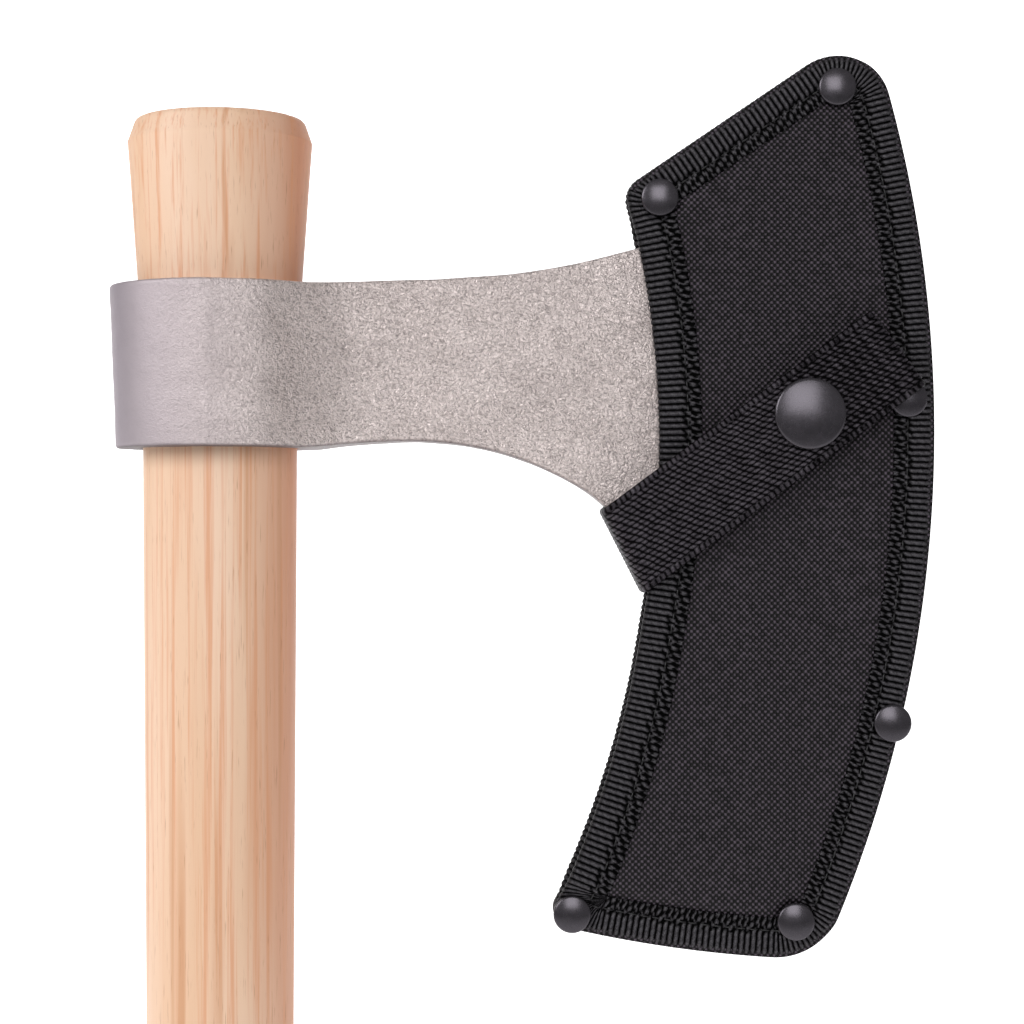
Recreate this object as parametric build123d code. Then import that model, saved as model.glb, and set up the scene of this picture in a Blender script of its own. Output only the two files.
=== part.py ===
"""Bearded hatchet on a straight tapered handle, with its blade in a sewn and riveted fabric sheath.

The handle stands on its butt along +Z, the blade points along +X and the sheath's snap side faces -Y.
The head's eye is tapered, so the head slides on over the butt and wedges on the flared top of the handle.
The sheath is two fabric panels with stiff liners and an edge welt between them, bound with folded tape and
closed by six two-piece rivets. A webbing strap, sewn to the back panel, goes round the beard to a snap.

The sheath and the strap are drawn lying flat, with their front side up, and then stood on the handle's frame:
flat (x, y, z) becomes X = x, Z = y, Y = -z. Millimetres throughout.
"""

import math
import os

from build123d import *

# Handle: an oval shaft, half width along X and half depth along Y at heights up from the butt
HANDLE_LENGTH = 558.0
HANDLE_OVAL = 0.787  # half depth over half width
HANDLE_HALF_WIDTHS = ((0.0, 15.1), (363.0, 15.7), (487.0, 16.45), (521.6, 17.5), (546.0, 19.2), (552.6, 19.7))
BUTT_CHAMFER = 2.5
TOP_CHAMFER_END = (560.0, 17.1)  # the chamfer's line runs on to here, above the dome
TOP_DOME_RADIUS = 300.0
TOP_ROUND = 1.6
WOOD_TO_STEEL = 0.12  # clearance of the taper fit

# Head: the eye band, the neck and the bearded blade
EYE_BOTTOM = 487.0
EYE_TOP = 521.6
POLL_TOP_X = -23.5
POLL_BOTTOM_X = -22.1
EYE_HALF_DEPTH = 19.0
CHEEK_START = (38.0, 5.8)  # X and half thickness where the neck becomes the flat cheek
CHEEK_END = (150.0, 0.72)
EDGE_CENTRE = (-97.6, 485.4)  # the cutting edge is an arc round this point
EDGE_RADIUS = 239.5
TOE_Z = 543.8
HEEL_Z = 407.2
BEARD_TIP = (84.8, 398.2)
BEVEL_WIDTH = 14.5
BEVEL_HALF_THICKNESS = 1.75
EDGE_HALF_THICKNESS = 0.12

# Sheath layers, each on both sides of the blade's middle plane
SEAM_HALF_GAP = 1.4  # half the welt's thickness
LINER = 0.5
PANEL = 0.9
TAPE = 0.5
FACE = LINER + PANEL + TAPE
BAND_WIDTH = 9.0  # the tape that shows on each face
WELT_WIDTH = 6.5
WELT_PAD = 3.4  # the welt widens to a pad round each rivet
SEAM_FOOT = 6.7  # the panels leave the seams this far in from the edge
SEAM_SLOPE = 0.65
CHEEK_SLOPE = 0.042  # and open towards the mouth as the blade thickens
CHEEK_FOOT_X = 146.0

# Sheath outline: its four corners before rounding, and the circles of its curved sides
MOUTH_TOP = (87.0, 543.1)
TOE_CORNER = (137.6, 577.4)
HEEL_CORNER = (128.2, 377.0)
MOUTH_BOTTOM = (69.6, 384.5)
CORNER_ROUNDS = (5.0, 11.7, 15.0, 4.5)
BOWED_SIDES = (((-118.4, 490.6), 271.8), ((134.3, 644.1), 266.8))  # cutting side and bottom
HOLLOW_SIDES = (((-124.0, 482.4), 216.8), ((-111.1, 488.0), 205.0))  # lower and upper mouth

# Rivets: name, X and Z
RIVETS = (
    ("mouth_top", 94.2, 540.4),
    ("toe", 132.0, 564.0),
    ("edge_upper", 147.2, 497.6),
    ("edge_lower", 143.8, 428.4),
    ("heel", 123.2, 386.1),
    ("mouth_bottom", 75.5, 387.7),
)
RIVET_CAP_RADIUS = 4.0
RIVET_CAP_HEIGHT = 1.7
RIVET_CAP_RIM = 0.5
RIVET_SHANK_RADIUS = 1.4
RIVET_SEAT_RADIUS = 4.15  # the fabric is pinched flat under the cap
RIVET_PINCH_SLOPE = 1.5
CLEARANCE = 0.05

# Strap: 19 mm webbing that leaves the beard at STRAP_ROOT and rises to its folded tip
STRAP_ROOT = (86.0, 464.8)
STRAP_TILT = 36.6
STRAP_WIDTH = 19.0
STRAP_THICKNESS = 1.4
STRAP_FACE = 6.5  # its inner face, from the blade's middle plane
STRAP_TIP = 73.0  # distance along the strap from its root
STRAP_FLAP_START = 8.0
STRAP_BACK_END = 46.0
HEM_LENGTH = 15.0  # the tip is folded under and sewn double
FOLD_TILT = 27.1  # the beard's edge at the strap leans this far from the vertical
FOLD_ROUND = 3.4

# Snap, on the strap's middle line
SNAP_ALONG = 49.2
SNAP_CAP_RADIUS = 7.55
SNAP_CAP_HEIGHT = 2.3
SNAP_CAP_RIM = 0.7
SNAP_POST_RADIUS = 2.0
SNAP_SOCKET_RADIUS = 6.2
SNAP_SOCKET_HEIGHT = 2.0
SNAP_SOCKET_CAVITY = 2.75
SNAP_STUD_RADIUS = 2.3
SNAP_STUD_BASE_RADIUS = 5.4
SNAP_STUD_BASE_HEIGHT = 0.35
SNAP_EYELET_RADIUS = 4.6
SNAP_EYELET_FLANGE = 0.35
SNAP_EYELET_BARREL = 1.3

REACH = 200.0  # larger than the sheath, for cutting tools


def stand(flat):
    """Stands a shape drawn flat on the handle's frame."""
    return Rot(90, 0, 0) * flat


def plate(sketch, low, high):
    """A flat sketch as a solid between two heights."""
    return Pos(0, 0, low) * extrude(sketch, high - low)


def bar(x, y, radius, low, high):
    """An upright round bar between two heights."""
    return Pos(x, y, (low + high) / 2) * Cylinder(radius, high - low)


def domed_cap(radius, height, rim):
    """A shallow domed disc on the plane Z = 0 with a short upright rim."""
    rise = height - rim
    sphere = (radius**2 + rise**2) / (2 * rise)
    return bar(0, 0, radius, 0, height) & (Pos(0, 0, height - sphere) * Sphere(sphere))


# Handle


def make_handle():
    """The hickory shaft: a loft through its oval stations, chamfered at both ends, with a domed top."""
    stations = (*HANDLE_HALF_WIDTHS, TOP_CHAMFER_END)
    shaft = loft([Pos(0, 0, z) * Ellipse(a, a * HANDLE_OVAL) for z, a in stations], ruled=True)
    shaft = chamfer(shaft.edges().sort_by(Axis.Z)[0], BUTT_CHAMFER)
    ball = Pos(0, 0, HANDLE_LENGTH - TOP_DOME_RADIUS) * Sphere(TOP_DOME_RADIUS)
    below = Pos(0, 0, HANDLE_LENGTH / 2 - 15) * Box(REACH, REACH, HANDLE_LENGTH)
    shaft = shaft & (ball + below)
    rims = shaft.edges().filter_by(lambda e: e.center().Z > HANDLE_LENGTH - 7 and e.length > 60)
    return fillet(rims.sort_by(Axis.Z)[-1], TOP_ROUND)


def tapered_eye():
    """The cutter for the eye: the wood's own taper carried straight on past both faces of the head."""
    (low, low_half), (high, high_half) = HANDLE_HALF_WIDTHS[2:4]
    sections = []
    for z in (low - 4, high + 4):
        half = low_half + (high_half - low_half) * (z - low) / (high - low)
        grown = half + WOOD_TO_STEEL, half * HANDLE_OVAL + WOOD_TO_STEEL
        sections.append(Pos(0, 0, z) * Ellipse(*grown))
    return loft(sections, ruled=True)


# Head


def edge_x(z):
    """X of the cutting edge at a height."""
    return EDGE_CENTRE[0] + math.sqrt(EDGE_RADIUS**2 - (z - EDGE_CENTRE[1]) ** 2)


def head_side():
    """The head's outline seen from the front."""
    toe = (edge_x(TOE_Z), TOE_Z)
    heel = (edge_x(HEEL_Z), HEEL_Z)
    middle = (EDGE_CENTRE[0] + EDGE_RADIUS, EDGE_CENTRE[1])
    eye_end = 20.0
    top = [(eye_end, EYE_TOP), (34.0, 522.4), (50.5, 523.1), (63.3, 524.2), (76.0, 526.3)]
    top += [(88.8, 529.5), (104.0, 533.4), (120.0, 538.2), toe]
    under = [(eye_end, EYE_BOTTOM), (33.5, 488.2), (46.0, 488.3), (59.0, 486.3), (71.8, 481.5)]
    under += [(80.3, 476.5), (89.6, 465.2), (94.2, 454.0), (96.4, 438.0), (94.4, 420.0), BEARD_TIP]
    edges = [
        Line((eye_end, EYE_BOTTOM), (POLL_BOTTOM_X, EYE_BOTTOM)),
        Line((POLL_BOTTOM_X, EYE_BOTTOM), (POLL_TOP_X, EYE_TOP)),
        Line((POLL_TOP_X, EYE_TOP), (eye_end, EYE_TOP)),
        Spline(*top),
        ThreePointArc(toe, middle, heel),
        Line(heel, BEARD_TIP),
        Spline(*under),
    ]
    return make_face(edges)


def head_plan():
    """The head's outline seen from above: an oval eye band that necks down to a tapering cheek."""
    slope = (CHEEK_START[1] - CHEEK_END[1]) / (CHEEK_END[0] - CHEEK_START[0])
    neck = [(0, EYE_HALF_DEPTH), (11, 16.6), (19, 11.2), (27, 7.4), CHEEK_START]
    quarter = (POLL_TOP_X * math.sqrt(0.5), EYE_HALF_DEPTH * math.sqrt(0.5))
    edges = [Line((CHEEK_END[0], -CHEEK_END[1]), CHEEK_END)]
    for side in (1, -1):
        curve = [(x, side * y) for x, y in neck]
        edges.append(ThreePointArc((0, side * EYE_HALF_DEPTH), (quarter[0], side * quarter[1]), (POLL_TOP_X, 0)))
        edges.append(Spline(*curve, tangents=((1, 0), (1, -side * slope))))
        edges.append(Line(curve[-1], (CHEEK_END[0], side * CHEEK_END[1])))
    return make_face(edges)


def edge_bevel():
    """A disc round the edge's centre that thins to nothing at the cutting edge."""
    start = EDGE_RADIUS - BEVEL_WIDTH
    shoulder, deep = 150.0, 30.0
    half = bar(0, 0, EDGE_RADIUS, 0, EDGE_HALF_THICKNESS)
    bevel = BEVEL_HALF_THICKNESS - EDGE_HALF_THICKNESS
    half += Pos(0, 0, EDGE_HALF_THICKNESS + bevel / 2) * Cone(EDGE_RADIUS, start, bevel)
    half += Pos(0, 0, (BEVEL_HALF_THICKNESS + deep) / 2) * Cone(start, shoulder, deep - BEVEL_HALF_THICKNESS)
    disc = half + mirror(half, Plane.XY)
    return Pos(*EDGE_CENTRE, 0) * disc


def make_head():
    """The forging: front view, plan and bevel intersected, and the tapered eye cut through."""
    flat = extrude(head_side(), EYE_HALF_DEPTH + 1, both=True) & edge_bevel()
    plan = Pos(0, 0, BEARD_TIP[1] - 20) * extrude(head_plan(), TOE_Z - BEARD_TIP[1] + 40)
    return (stand(flat) & plan) - tapered_eye()


# Sheath


def disc(centre, radius):
    """A filled circle."""
    return Pos(*centre) * Circle(radius)


def outline(inset):
    """The sheath's shape drawn in by an amount: straight top, bowed right and bottom sides, hollow mouth."""
    top_angle = math.atan2(TOE_CORNER[1] - MOUTH_TOP[1], TOE_CORNER[0] - MOUTH_TOP[0])
    below_top = Rectangle(2 * REACH, 2 * REACH, align=(Align.CENTER, Align.MAX))
    below_top = Pos(*MOUTH_TOP) * Rot(0, 0, math.degrees(top_angle)) * Pos(0, -inset) * below_top
    face = below_top
    for centre, radius in BOWED_SIDES:
        face = face & disc(centre, radius - inset)
    for centre, radius in HOLLOW_SIDES:
        face = face - disc(centre, radius + inset)
    for corner, radius in zip((MOUTH_TOP, TOE_CORNER, HEEL_CORNER, MOUTH_BOTTOM), CORNER_ROUNDS):
        if radius - inset > 0.5:
            face = fillet(face.vertices().sort_by_distance((*corner, 0))[0], radius - inset)
    return face


def mouth_side():
    """The side of the two mitred corners that belongs to the mouth's tape."""
    points = [MOUTH_TOP, (106.0, 533.6), (108.0, 470.0), (96.0, 404.0), MOUTH_BOTTOM, (50, 378), (50, 560)]
    return make_face(Polyline(*points, close=True))


def under_plane(x, y, z, normal):
    """Everything below a plane."""
    block = Box(4 * REACH, 4 * REACH, REACH, align=(Align.CENTER, Align.CENTER, Align.MAX))
    return Plane(origin=(x, y, z), z_dir=normal) * block


def cover(rise):
    """The room under a sheath layer: flat at the seams, raised over the blade and pinched at the rivets."""
    flat = SEAM_HALF_GAP + rise
    raised = under_plane(CHEEK_FOOT_X, 480, flat, (CHEEK_SLOPE, 0, 1))
    for start, end, inward in ((MOUTH_TOP, TOE_CORNER, -1), (MOUTH_BOTTOM, HEEL_CORNER, 1)):
        run = math.hypot(end[0] - start[0], end[1] - start[1])
        nx, ny = -inward * (end[1] - start[1]) / run, inward * (end[0] - start[0]) / run
        foot = start[0] + nx * SEAM_FOOT, start[1] + ny * SEAM_FOOT
        raised = raised & under_plane(*foot, flat, (-nx * SEAM_SLOPE, -ny * SEAM_SLOPE, 1))
    tall = 8.0
    for _, x, y in RIVETS:
        pinch = Cone(RIVET_SEAT_RADIUS, RIVET_SEAT_RADIUS + tall / RIVET_PINCH_SLOPE, tall)
        raised = raised - Pos(x, y, flat + tall / 2) * pinch
    flange = Pos(110, 480, flat / 2) * Box(REACH, 2 * REACH, flat)
    return raised + flange


def layer(sketch, room, room_below):
    """A front layer of the sheath over a region, between two covers."""
    return (plate(sketch, 0, 16) & room) - room_below


def pierce(solid, *holes):
    """A layer with its fastener holes cut right through."""
    for x, y, radius in holes:
        solid = solid - bar(x, y, radius + CLEARANCE, -20, 20)
    return solid


def make_sheath(snap):
    """Panels, liners, bindings and welt, as flat solids."""
    whole, panel = outline(0), outline(TAPE)
    band = whole - outline(BAND_WIDTH)
    mouth_band = band & mouth_side()
    closed_band = band - mouth_side()
    welt = (whole - outline(WELT_WIDTH)) - mouth_side()
    for _, x, y in RIVETS:
        welt += disc((x, y), WELT_PAD)
    welt = welt & panel

    floor, over_liner, over_panel, over_tape = [cover(h) for h in (0, LINER, LINER + PANEL, FACE)]
    sheet = layer(panel, over_panel, over_liner)
    liner = layer(panel - mouth_band, over_liner, floor)
    mouth_tape = layer(mouth_band, over_tape, floor) - layer(panel, over_panel, over_liner)
    edge_tape = (plate(closed_band, 0, 16) & over_tape) - (plate(panel, -1, 16) & over_panel)
    edge_tape = edge_tape + mirror(edge_tape, Plane.XY)
    welt = plate(welt, -SEAM_HALF_GAP, SEAM_HALF_GAP)

    rivets = [(x, y, RIVET_SHANK_RADIUS) for _, x, y in RIVETS]
    # the strap's bend presses the mouth in where it crosses
    bend = plate(strap_length(-9, STRAP_THICKNESS + 0.4, STRAP_WIDTH + 0.8, (1, 1)), -20, 20)
    sheet, liner, mouth_tape, edge_tape, welt = [
        pierce(piece, *rivets) - bend for piece in (sheet, liner, mouth_tape, edge_tape, welt)
    ]
    return {
        "front_panel": pierce(sheet, (*snap, SNAP_EYELET_BARREL)),
        "back_panel": mirror(sheet, Plane.XY),
        "front_liner": pierce(liner, (*snap, SNAP_EYELET_RADIUS)),
        "back_liner": mirror(liner, Plane.XY),
        "front_mouth_binding": mouth_tape,
        "back_mouth_binding": mirror(mouth_tape, Plane.XY),
        "edge_binding": edge_tape,
        "edge_welt": welt,
    }, over_tape


# Rivets


def make_rivet(x, y):
    """A double-cap rivet: the front cap, and the back cap with the shank that the front cap grips."""
    seat = SEAM_HALF_GAP + FACE
    shank_end = seat + 0.9
    dome = domed_cap(RIVET_CAP_RADIUS, RIVET_CAP_HEIGHT, RIVET_CAP_RIM)
    cap = Pos(x, y, seat) * dome - bar(x, y, RIVET_SHANK_RADIUS + CLEARANCE, 0, shank_end + CLEARANCE)
    post = Pos(x, y, -seat) * mirror(dome, Plane.XY) + bar(x, y, RIVET_SHANK_RADIUS, -seat - 0.3, shank_end)
    return cap, post


# Strap


def strap_point(along, across):
    """A point given in the strap's own directions."""
    tilt = math.radians(STRAP_TILT)
    x = STRAP_ROOT[0] + along * math.cos(tilt) - across * math.sin(tilt)
    y = STRAP_ROOT[1] + along * math.sin(tilt) + across * math.cos(tilt)
    return x, y


def strap_length(start, end, width=STRAP_WIDTH, slants=(1, 0)):
    """A length of strap; a slanted end runs parallel to the beard's edge."""
    half = width / 2
    slant = half * math.tan(math.radians(STRAP_TILT - FOLD_TILT))
    start_slant, end_slant = slant * slants[0], slant * slants[1]
    corners = [(start + start_slant, half), (start - start_slant, -half)]
    corners += [(end - end_slant, -half), (end + end_slant, half)]
    return make_face(Polyline(*[strap_point(*c) for c in corners], close=True))


def make_fold():
    """The bend of the strap round the beard's edge: a U that joins the back length to the flap."""
    outer, inner = STRAP_FACE + STRAP_THICKNESS, STRAP_FACE
    long = 2 * STRAP_FLAP_START
    profile = RectangleRounded(2 * long, 2 * outer, FOLD_ROUND)
    profile -= RectangleRounded(2 * long - 2 * STRAP_THICKNESS, 2 * inner, FOLD_ROUND - STRAP_THICKNESS)
    profile = Pos(long, 0) * profile
    profile &= Pos(STRAP_FLAP_START / 2, 0) * Rectangle(STRAP_FLAP_START, 3 * outer)
    tilt, lean = math.radians(STRAP_TILT), math.radians(FOLD_TILT)
    upright = Plane(
        origin=(*STRAP_ROOT, 0),
        x_dir=(math.cos(tilt), math.sin(tilt), 0),
        z_dir=(math.sin(tilt), -math.cos(tilt), 0),
    )
    length = STRAP_WIDTH / math.cos(tilt - lean)
    return extrude(upright * profile, length / 2, dir=(math.sin(lean), -math.cos(lean), 0), both=True)


# Snap


def make_snap(x, y):
    """The four pieces of the snap: cap and socket on the strap, stud and eyelet on the front panel."""
    strap_outer = STRAP_FACE + STRAP_THICKNESS
    cap = Pos(x, y, strap_outer) * domed_cap(SNAP_CAP_RADIUS, SNAP_CAP_HEIGHT, SNAP_CAP_RIM)
    cap += bar(x, y, SNAP_POST_RADIUS, STRAP_FACE - 0.5, strap_outer + 0.3)
    socket = bar(x, y, SNAP_SOCKET_RADIUS, STRAP_FACE - SNAP_SOCKET_HEIGHT, STRAP_FACE)
    socket -= bar(x, y, SNAP_SOCKET_CAVITY, 0, STRAP_FACE + 1)
    # the stud and the eyelet are flat, so they stand clear of the panel's slope at their rims
    room = SEAM_HALF_GAP + CHEEK_SLOPE * (CHEEK_FOOT_X - x)
    base = room + LINER + PANEL + CHEEK_SLOPE * SNAP_STUD_BASE_RADIUS + 0.02
    stud_top = STRAP_FACE - 0.65
    stud = bar(x, y, SNAP_STUD_BASE_RADIUS, base, base + SNAP_STUD_BASE_HEIGHT)
    stud += bar(x, y, SNAP_STUD_RADIUS, base, stud_top)
    barrel_top = stud_top - 0.5
    stud -= bar(x, y, SNAP_EYELET_BARREL + CLEARANCE, 0, barrel_top + CLEARANCE)
    under = room + LINER - CHEEK_SLOPE * SNAP_EYELET_RADIUS - 0.02
    eyelet = bar(x, y, SNAP_EYELET_RADIUS, under - SNAP_EYELET_FLANGE, under)
    eyelet += bar(x, y, SNAP_EYELET_BARREL, under - SNAP_EYELET_FLANGE, barrel_top)
    return {"snap_cap": cap, "snap_socket": socket, "snap_stud": stud, "snap_eyelet": eyelet}


def main():
    """Builds every node and writes its STEP file."""
    snap = strap_point(SNAP_ALONG, 0)
    flat, over_tape = make_sheath(snap)
    for name, x, y in RIVETS:
        flat["rivet_cap_" + name], flat["rivet_post_" + name] = make_rivet(x, y)
    flat.update(make_snap(*snap))

    top = STRAP_FACE + STRAP_THICKNESS
    flap = plate(strap_length(STRAP_FLAP_START, STRAP_TIP), STRAP_FACE, top)
    flat["strap_flap"] = pierce(flap, (*snap, SNAP_POST_RADIUS))
    hem = strap_length(STRAP_TIP - HEM_LENGTH, STRAP_TIP, slants=(0, 0))
    flat["strap_hem"] = plate(hem, STRAP_FACE - STRAP_THICKNESS, STRAP_FACE)
    back = plate(strap_length(STRAP_FLAP_START, STRAP_BACK_END), 0, 16)
    back = (back & (Pos(0, 0, STRAP_THICKNESS) * over_tape)) - over_tape
    flat["strap_back"] = mirror(back, Plane.XY)
    flat["strap_fold"] = make_fold()

    parts = {name: stand(shape) for name, shape in flat.items()}
    parts["handle"] = make_handle()
    parts["axe_head"] = make_head()
    os.makedirs("parts", exist_ok=True)
    for name, shape in parts.items():
        export_step(shape, f"parts/{name}.step")


main()
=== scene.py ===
"""A bearded hatchet on a hickory handle, its blade in a black nylon sheath, in a white studio.

The file follows the order in which the object is put together: the handle, the forged head that wedges on
it, and the sheath as it is sewn: liners and welt, canvas panels, binding tape, rivets, strap and snap.
Sizes are in millimetres and turn to metres where a mesh is made. The sheath is laid out flat with its front
side up, as (x, y, height), and stood up on the handle's frame: X = x, Z = y and Y = -height.
"""

import math

import bmesh
import bpy
import numpy as np
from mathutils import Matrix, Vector, noise


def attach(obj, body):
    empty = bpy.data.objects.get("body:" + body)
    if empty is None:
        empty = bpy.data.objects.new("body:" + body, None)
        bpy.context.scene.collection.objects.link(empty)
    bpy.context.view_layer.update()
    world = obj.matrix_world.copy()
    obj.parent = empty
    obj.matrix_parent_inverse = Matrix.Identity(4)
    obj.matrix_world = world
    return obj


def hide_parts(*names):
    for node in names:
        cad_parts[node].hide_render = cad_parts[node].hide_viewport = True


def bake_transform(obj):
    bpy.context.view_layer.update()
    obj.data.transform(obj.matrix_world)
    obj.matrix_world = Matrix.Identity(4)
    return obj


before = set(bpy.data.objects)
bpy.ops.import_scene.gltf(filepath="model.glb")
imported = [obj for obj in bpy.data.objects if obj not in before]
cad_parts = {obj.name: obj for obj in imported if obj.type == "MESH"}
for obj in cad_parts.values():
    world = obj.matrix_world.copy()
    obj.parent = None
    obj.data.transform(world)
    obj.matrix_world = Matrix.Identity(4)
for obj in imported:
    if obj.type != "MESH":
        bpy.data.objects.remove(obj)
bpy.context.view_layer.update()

# Studio. A seamless sweep of white paper under a pale sky, with a wide soft lamp high on the left and another
# high in front. The paper darkens towards the front, which leaves the undersides of things a little darker.


def colour(code):
    """A hex sRGB colour as the linear colour that a shader takes."""
    parts = [int(code[i : i + 2], 16) / 255 for i in (1, 3, 5)]
    return [*(c / 12.92 if c <= 0.04045 else ((c + 0.055) / 1.055) ** 2.4 for c in parts), 1.0]


def add(tree, kind, inputs=(), **settings):
    """Adds a node: inputs are values or other nodes' outputs by socket, and settings are its properties."""
    made = tree.nodes.new(kind)
    for name, value in settings.items():
        setattr(made, name, value)
    for socket, value in dict(inputs).items():
        source = value.outputs[0] if isinstance(value, bpy.types.Node) else value
        if isinstance(source, bpy.types.NodeSocket):
            tree.links.new(source, made.inputs[socket])
        else:
            made.inputs[socket].default_value = source
    return made


def new_material(name, **values):
    """A material with plain values on its shader's own sockets, and its node tree and shader."""
    made = bpy.data.materials.new(name)
    made.use_nodes = True
    shader = made.node_tree.nodes["Principled BSDF"]
    for socket, value in values.items():
        shader.inputs[socket.replace("_", " ")].default_value = value
    return made, made.node_tree, shader


def make_piece(name, points, faces, material):
    """A smooth-shaded mesh object from points in metres."""
    mesh = bpy.data.meshes.new(name)
    mesh.from_pydata([tuple(p) for p in points], [], [tuple(f) for f in faces])
    mesh.materials.append(material)
    mesh.shade_smooth()
    made = bpy.data.objects.new(name, mesh)
    bpy.context.scene.collection.objects.link(made)
    return made


def mark(piece, name, values):
    """Stores one number for each of a mesh's points, for its material to read."""
    piece.data.attributes.new(name, "FLOAT", "POINT").data.foreach_set("value", np.ravel(values))


def grid_faces(index):
    """The quads of a grid of point numbers."""
    corners = index[:-1, :-1], index[:-1, 1:], index[1:, 1:], index[1:, :-1]
    return np.stack(corners, axis=-1).reshape(-1, 4)


# background paper: quite matt; it glows with painted light behind the object so that it stays white there,
# and is painted dark in front of it as painted shade for the undersides of things
paper, tree, shader = new_material("paper_sweep", Roughness=0.9, Emission_Color=colour("#ffffff"))
PAPER_MIDDLE, GLOW_START, SHADE_START = 0.3, -1.2, -1.0
axes = add(tree, "ShaderNodeSeparateXYZ", {0: add(tree, "ShaderNodeTexCoord").outputs["Object"]})
glow = {0: axes.outputs["Y"], 1: GLOW_START, 2: PAPER_MIDDLE, 3: 0.05, 4: 0.95}
glow = add(tree, "ShaderNodeMapRange", glow)
tree.links.new(glow.outputs[0], shader.inputs["Emission Strength"])
shade = add(tree, "ShaderNodeMapRange", {0: axes.outputs["Y"], 1: SHADE_START, 2: PAPER_MIDDLE})
shade = add(tree, "ShaderNodeMixRGB", {0: shade, 1: colour("#4a4a4a"), 2: colour("#f2f2f2")})
tree.links.new(shade.outputs[0], shader.inputs["Base Color"])
SWEEP_FRONT, SWEEP_BACK, SWEEP_BEND, SWEEP_TOP, SWEEP_HALF = -3.0, 2.2, 1.2, 4.0, 4.0
turn = np.linspace(0, math.pi / 2, 17)
sweep_line = [(SWEEP_FRONT, 0.0)]
sweep_line += [(SWEEP_BACK + SWEEP_BEND * math.sin(a), SWEEP_BEND * (1 - math.cos(a))) for a in turn]
sweep_line += [(SWEEP_BACK + SWEEP_BEND, SWEEP_TOP)]
sweep_points = [(x, y, z) for y, z in sweep_line for x in (-SWEEP_HALF, SWEEP_HALF)]
sweep_index = np.arange(len(sweep_points)).reshape(-1, 2)
sweep = make_piece("paper_sweep", sweep_points, grid_faces(sweep_index), paper)

CAMERA_PLACE, LENS, SENSOR = (0.0627, -0.400, 0.4734), 65.4, 36
camera = bpy.data.objects.new("camera", bpy.data.cameras.new("camera"))
camera.data.lens = LENS
camera.data.sensor_width = SENSOR
camera.location = CAMERA_PLACE
camera.rotation_euler = (math.pi / 2, 0, 0)
camera.data.clip_start = 0.02
bpy.context.scene.collection.objects.link(camera)
bpy.context.scene.camera = camera

# each lamp's name, place, size in metres and power in watts
LAMPS = (
    ("key", (-1.3, -0.9, 1.2), 0.9, 12.5),
    ("front", (0.1, -2.0, 1.24), 1.25, 18.0),
)
LAMP_AIM = Vector((0.05, 0, 0.45))
for name, place, size, power in LAMPS:
    lamp = bpy.data.objects.new(name, bpy.data.lights.new(name, "AREA"))
    lamp.data.size = size
    lamp.data.energy = power
    lamp.location = place
    lamp.rotation_euler = (LAMP_AIM - Vector(place)).to_track_quat("-Z", "Y").to_euler()
    bpy.context.scene.collection.objects.link(lamp)

SKY_STRENGTH = 0.26
sky = bpy.data.worlds.new("sky")
sky.use_nodes = True
sky.node_tree.nodes["Background"].inputs["Color"].default_value = (1, 1, 1, 1)
sky.node_tree.nodes["Background"].inputs["Strength"].default_value = SKY_STRENGTH
bpy.context.scene.world = sky
bpy.context.scene.view_settings.view_transform = "Standard"

# Handle. A straight shaft of hickory, turned and sanded to an oval and flared at its domed top so that the
# head wedges on it from below. The wood is left pale, with a thin coat of wax.


MM = 0.001


def per_mm(*sizes):
    """How often a pattern repeats in a metre when its parts are this many millimetres in size."""
    return tuple(1 / (size * MM) for size in sizes)


# sanded hickory: straight pale grain with long soft streaks, and open pores that show as fine dark dashes;
# its right side carries a painted shade, redder and darker
hickory, tree, shader = new_material("sanded_hickory", Roughness=0.46, Specular_IOR_Level=0.35)
where = add(tree, "ShaderNodeTexCoord").outputs["Object"]
spread = add(tree, "ShaderNodeVectorMath", {0: where, 1: per_mm(11, 11, 190)}, operation="MULTIPLY")
drift = add(tree, "ShaderNodeTexNoise", {"Vector": spread, "Scale": 1.0, "Detail": 3.0})
spread = add(tree, "ShaderNodeVectorMath", {0: where, 1: per_mm(1.3, 2.0, 110)}, operation="MULTIPLY")
streak = add(tree, "ShaderNodeTexNoise", {"Vector": spread, "Scale": 1.0, "Detail": 3.0, "Roughness": 0.65})
spread = add(tree, "ShaderNodeVectorMath", {0: where, 1: per_mm(4.2, 6, 260)}, operation="MULTIPLY")
dark_streak = add(tree, "ShaderNodeTexNoise", {"Vector": spread, "Scale": 1.0, "Distortion": 0.4})
spread = add(tree, "ShaderNodeVectorMath", {0: where, 1: per_mm(0.3, 0.5, 7)}, operation="MULTIPLY")
pores = add(tree, "ShaderNodeTexNoise", {"Vector": spread, "Scale": 1.0, "Roughness": 0.6})
drifted = add(tree, "ShaderNodeMapRange", {0: drift, 1: 0.38, 2: 0.66})
pale = add(tree, "ShaderNodeMixRGB", {0: drifted, 1: colour("#f8d5ba"), 2: colour("#f0c7a6")})
RIGHT_SHADE_START, RIGHT_SHADE_END, RIGHT_SHADE_DRIFT = 13 * MM, 22.5 * MM, 12 * MM  # painted shade: a redder, darker tone towards +X, the handle's right side turned from the key light
axes = add(tree, "ShaderNodeSeparateXYZ", {0: where})
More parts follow.
